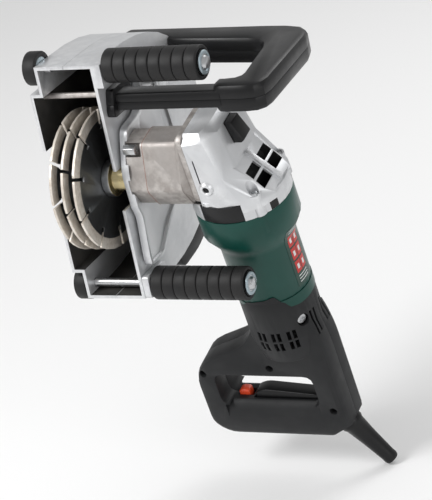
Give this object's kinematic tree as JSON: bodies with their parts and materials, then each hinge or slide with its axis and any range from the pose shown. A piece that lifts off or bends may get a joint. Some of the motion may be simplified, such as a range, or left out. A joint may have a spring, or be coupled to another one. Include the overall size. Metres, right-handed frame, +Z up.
{
  "type": "wall chaser",
  "caption": "Handheld electric wall chaser: diamond discs in a rolling cast guard, a hinged gear and motor head that sets the cutting depth, a bow handle and a spade handle.",
  "frame": {"origin": "centre of the spindle's outer end face, on the spindle axis", "axes": "tool against a vertical wall: +Z up the wall towards the bow handle, +Y away from the wall, +X along the spindle from the discs to the gear head"},
  "size_m": [0.2199, 0.2285, 0.4604],
  "materials": {
    "cast_silver": "silver die casting with a fine satin grain",
    "cast_dull": "dull warm grey sand-textured casting",
    "steel": "turned steel",
    "disc_steel": "satin disc steel with cream sintered rim segments",
    "zinc": "yellow zinc plating",
    "green_plastic": "dark green glass-filled plastic",
    "dark_plastic": "dark grey glass-filled plastic",
    "black_plastic": "black glass-filled plastic",
    "rubber": "moulded rubber",
    "red_plastic": "red-orange moulded plastic",
    "copper": "copper windings and laminations"
  },
  "bodies": {
    "guard": {"guard_outer_half": "cast_silver", "guard_inner_half": "cast_silver", "guard_tie_bar": "steel", "dust_duct": "black_plastic", "dust_spigot": "dark_plastic", "front_wheel_bolt": "steel", "front_roller_axle": "steel", "rear_axle": "steel", "rear_roller_bracket": "cast_silver", "bow_handle_front": "black_plastic", "bow_handle_rear": "black_plastic", "depth_pivot_pin": "steel"},
    "head": {"carrier_plate": "cast_silver", "carrier_bolt_1": "steel", "carrier_bolt_2": "steel", "gear_nose": "cast_dull", "gear_case": "cast_dull", "gear_head": "cast_silver", "head_panel_front": "black_plastic", "head_panel_back": "black_plastic", "head_screw_1": "steel", "head_screw_2": "steel", "head_screw_3": "steel", "head_screw_4": "steel", "motor_housing": "green_plastic", "motor_bearing_front": "steel", "motor_bearing_rear": "steel", "stator": "copper", "rear_housing_front": "dark_plastic", "rear_housing_back": "dark_plastic", "cord_boot": "black_plastic", "spindle_bearing_outer": "steel", "layshaft_bearing_outer": "steel", "layshaft_bearing_inner": "steel"},
    "spindle_set": {"spindle": "steel", "arbor_flange": "zinc", "clamp_nut": "zinc", "disc_1": "disc_steel", "disc_2": "disc_steel", "disc_3": "disc_steel", "disc_spacer_1": "steel", "disc_spacer_2": "steel", "spindle_gear": "steel"},
    "layshaft_set": {"layshaft": "steel", "layshaft_gear": "steel", "bevel_wheel": "steel"},
    "motor_rotor": {"armature": "copper", "motor_pinion": "steel", "cooling_fan": "dark_plastic"},
    "front_wheel": {"front_wheel_tyre": "rubber", "front_wheel_hub": "steel"},
    "rear_wheel": {"rear_wheel_tyre": "rubber", "rear_wheel_hub": "steel"},
    "front_roller": {"front_roller_cover": "rubber", "front_roller_core": "steel"},
    "rear_roller": {"rear_roller_cover": "rubber", "rear_roller_core": "steel"},
    "trigger": {"trigger": "black_plastic"},
    "lock_off": {"lock_off_slider": "red_plastic"},
    "spindle_lock": {"spindle_lock_button": "dark_plastic"}
  },
  "joints": [
    {"name": "depth_pivot", "type": "hinge", "parent": "guard", "child": "head", "pos_m": [0.06, 0.048, 0.072], "axis": [1, 0, 0], "range_deg": [0, 21.6]},
    {"name": "spindle_spin", "type": "hinge", "parent": "head", "child": "spindle_set", "pos_m": [0, 0, 0], "axis": [1, 0, 0], "continuous": true},
    {"name": "layshaft_spin", "type": "hinge", "parent": "head", "child": "layshaft_set", "pos_m": [0.09, 0.026, 0.012], "axis": [1, 0, 0], "continuous": true},
    {"name": "motor_spin", "type": "hinge", "parent": "head", "child": "motor_rotor", "pos_m": [0.1414, 0.026, 0.012], "axis": [0, 0.225, -0.9744], "continuous": true},
    {"name": "front_wheel_spin", "type": "hinge", "parent": "guard", "child": "front_wheel", "pos_m": [-0.008, -0.0075, 0.107], "axis": [1, 0, 0], "continuous": true},
    {"name": "rear_wheel_spin", "type": "hinge", "parent": "guard", "child": "rear_wheel", "pos_m": [-0.008, -0.0075, -0.098], "axis": [1, 0, 0], "continuous": true},
    {"name": "front_roller_spin", "type": "hinge", "parent": "guard", "child": "front_roller", "pos_m": [0.108, -0.0075, 0.107], "axis": [1, 0, 0], "continuous": true},
    {"name": "rear_roller_spin", "type": "hinge", "parent": "guard", "child": "rear_roller", "pos_m": [0.108, -0.0075, -0.098], "axis": [1, 0, 0], "continuous": true},
    {"name": "trigger_squeeze", "type": "hinge", "parent": "head", "child": "trigger", "pos_m": [0.1534, 0.08966, -0.26375], "axis": [0, -0.9744, -0.225], "range_deg": [0, 5], "stiffness_Nm_per_rad": 2, "springref_deg": -5.73},
    {"name": "lock_off_slide", "type": "slide", "parent": "head", "child": "lock_off", "axis": [1, 0, 0], "range_m": [0, 0.003], "stiffness_N_per_m": 300, "springref_m": -0.002},
    {"name": "spindle_lock_press", "type": "slide", "parent": "head", "child": "spindle_lock", "axis": [-1, 0, 0], "range_m": [0, 0.0025], "stiffness_N_per_m": 400, "springref_m": -0.001}
  ],
  "couplings": [
    {"joint": "layshaft_spin", "follows": "spindle_spin", "ratio": -0.80952},
    {"joint": "motor_spin", "follows": "spindle_spin", "ratio": -2.4286}
  ]
}
